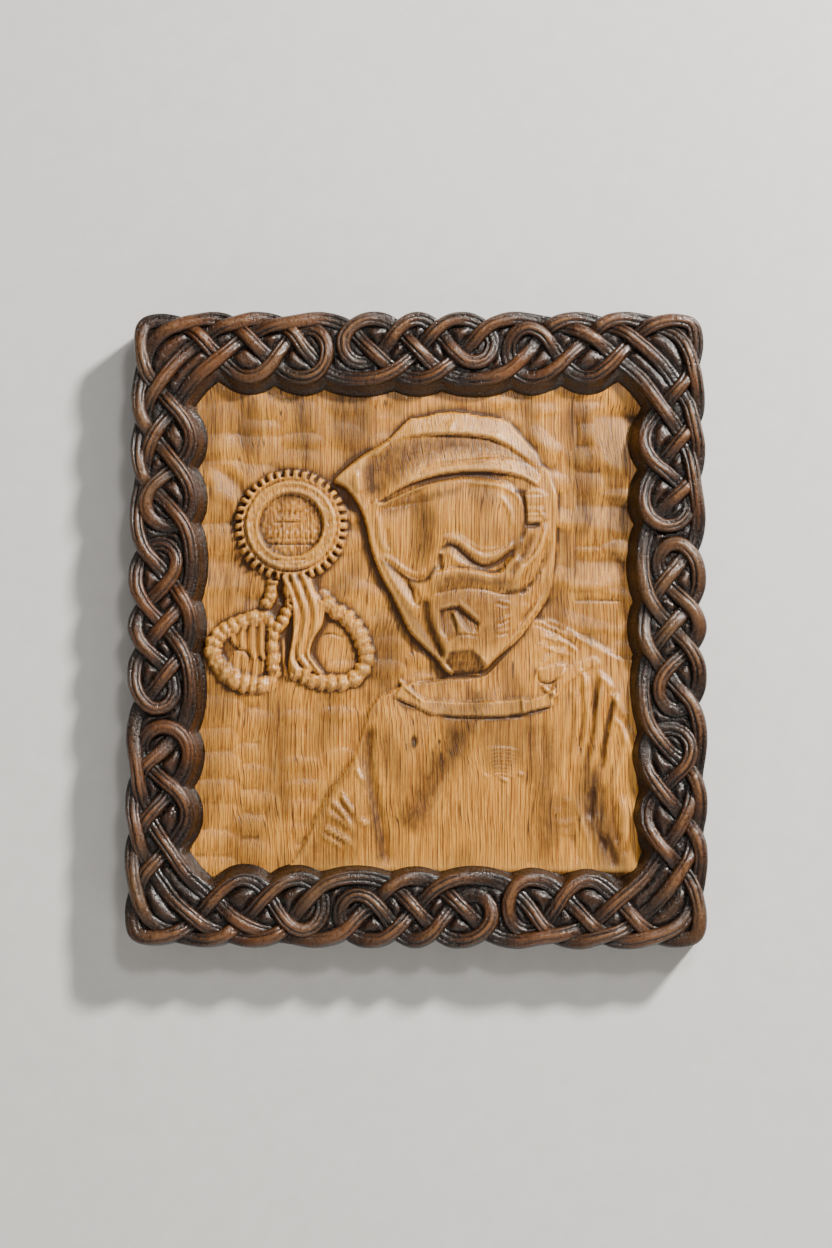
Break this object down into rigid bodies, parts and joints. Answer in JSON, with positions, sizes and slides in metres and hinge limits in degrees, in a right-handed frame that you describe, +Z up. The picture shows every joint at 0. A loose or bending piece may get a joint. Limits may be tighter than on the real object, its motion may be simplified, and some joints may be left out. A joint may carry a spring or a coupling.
{
  "type": "relief wall plaque",
  "caption": "Wall plaque: a carved knotwork frame round an oak panel with a relief of a helmeted rider, a toothed wheel and a chain.",
  "frame": {"origin": "middle of the flat back, on the wall plane", "axes": "+Z up the wall, +X to the viewer's right, +Y into the wall; the carved front faces -Y"},
  "size_m": [0.38, 0.036, 0.4202],
  "materials": {
    "dark_walnut_stain": "glossy varnish over dark brown stain, rubbed lighter on the crests",
    "golden_oak": "satin oil on golden oak, dark pores, darker wax in the hollows"
  },
  "bodies": {
    "root": {"knotwork_frame": "dark_walnut_stain", "relief_panel": "golden_oak"}
  },
  "joints": []
}
